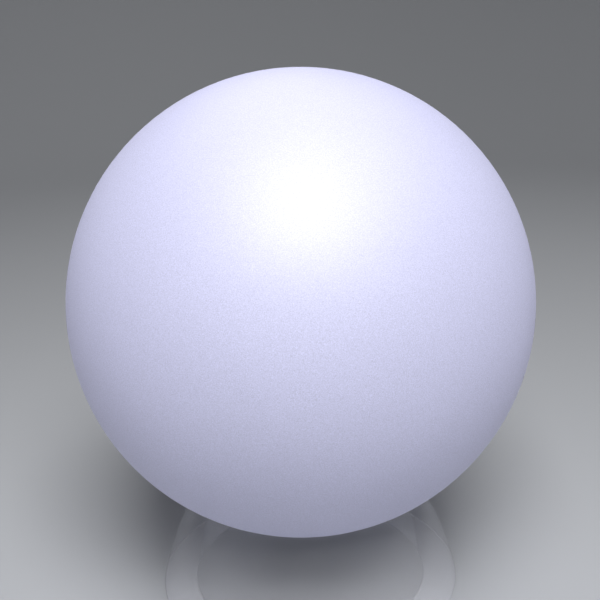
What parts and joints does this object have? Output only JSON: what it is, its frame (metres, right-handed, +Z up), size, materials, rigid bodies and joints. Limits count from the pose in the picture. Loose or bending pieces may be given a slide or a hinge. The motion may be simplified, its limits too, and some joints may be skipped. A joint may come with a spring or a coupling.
{
  "type": "led ball light",
  "caption": "Frosted white glowing ball resting in a low clear ring stand, with a domed screw-on cap underneath that carries a push button, a plugged charging port and a folding hanging bail.",
  "frame": {"origin": "on the floor, in the middle of the stand's foot", "axes": "+Z up through the middle of the stand and the ball; the bail folds towards -Y and the charging port is on the +Y side"},
  "size_m": [0.2, 0.2, 0.2358],
  "materials": {
    "clear_stand": "solid clear polished acrylic with a faint grey veil",
    "frosted_globe": "frosted translucent white polyethylene with a fine grain, lit from inside with cool white light",
    "white_plastic": "white moulded plastic",
    "cap_plastic": "satin light grey moulded plastic, fine spark-eroded texture",
    "button_plastic": "satin white",
    "black_plastic": "black moulded plastic",
    "grey_silicone": "matt grey silicone rubber",
    "polished_steel": "polished stainless wire",
    "stainless_screw": "stainless steel",
    "brass": "knurled brass",
    "circuit_board": "green solder mask",
    "battery_wrap": "shrink wrap over the cell",
    "black_foam": "closed-cell foam",
    "lead_insulation": "insulated lead",
    "aluminium_board": "white solder mask on aluminium",
    "light_chip": "phosphor chip, lit",
    "clear_cover": "clear dome"
  },
  "bodies": {
    "stand": {"stand_ring": "clear_stand"},
    "globe": {"globe_shell": "frosted_globe", "nut_ring": "white_plastic", "threaded_inserts": "brass", "cap_gasket": "grey_silicone", "base_cap": "cap_plastic", "cap_screws": "stainless_screw", "button_seal": "grey_silicone", "tact_switch": "black_plastic", "charge_jack": "black_plastic", "control_board": "circuit_board", "board_parts": "black_plastic", "board_screws": "stainless_screw", "module_cup": "white_plastic", "housing_screws": "stainless_screw", "battery_cell": "battery_wrap", "battery_pad": "black_foam", "battery_retainer": "white_plastic", "retainer_screws": "stainless_screw", "battery_leads": "lead_insulation", "led_board": "aluminium_board", "led_chips": "light_chip", "led_screws": "stainless_screw", "led_leads": "lead_insulation", "reflector": "white_plastic", "light_cover": "clear_cover"},
    "button": {"power_button": "button_plastic"},
    "switch_stem": {"switch_plunger": "black_plastic"},
    "plug": {"port_plug": "grey_silicone"},
    "bail": {"hang_bail": "polished_steel"}
  },
  "joints": [
    {"name": "globe_lift", "type": "slide", "parent": "stand", "child": "globe", "axis": [0, 0, 1], "range_m": [0, 0.08]},
    {"name": "button_press", "type": "slide", "parent": "globe", "child": "button", "axis": [0, 0, 1], "range_m": [0, 0.0008], "stiffness_N_per_m": 1500},
    {"name": "switch_press", "type": "slide", "parent": "globe", "child": "switch_stem", "axis": [0, 0, 1], "range_m": [0, 0.0008]},
    {"name": "plug_pull", "type": "slide", "parent": "globe", "child": "plug", "axis": [0, 0, -1], "range_m": [0, 0.016]},
    {"name": "bail_swing", "type": "hinge", "parent": "globe", "child": "bail", "pos_m": [0, 0, 0.04039], "axis": [1, 0, 0], "range_deg": [0, 90]}
  ],
  "couplings": [
    {"joint": "switch_press", "follows": "button_press", "ratio": 1}
  ]
}
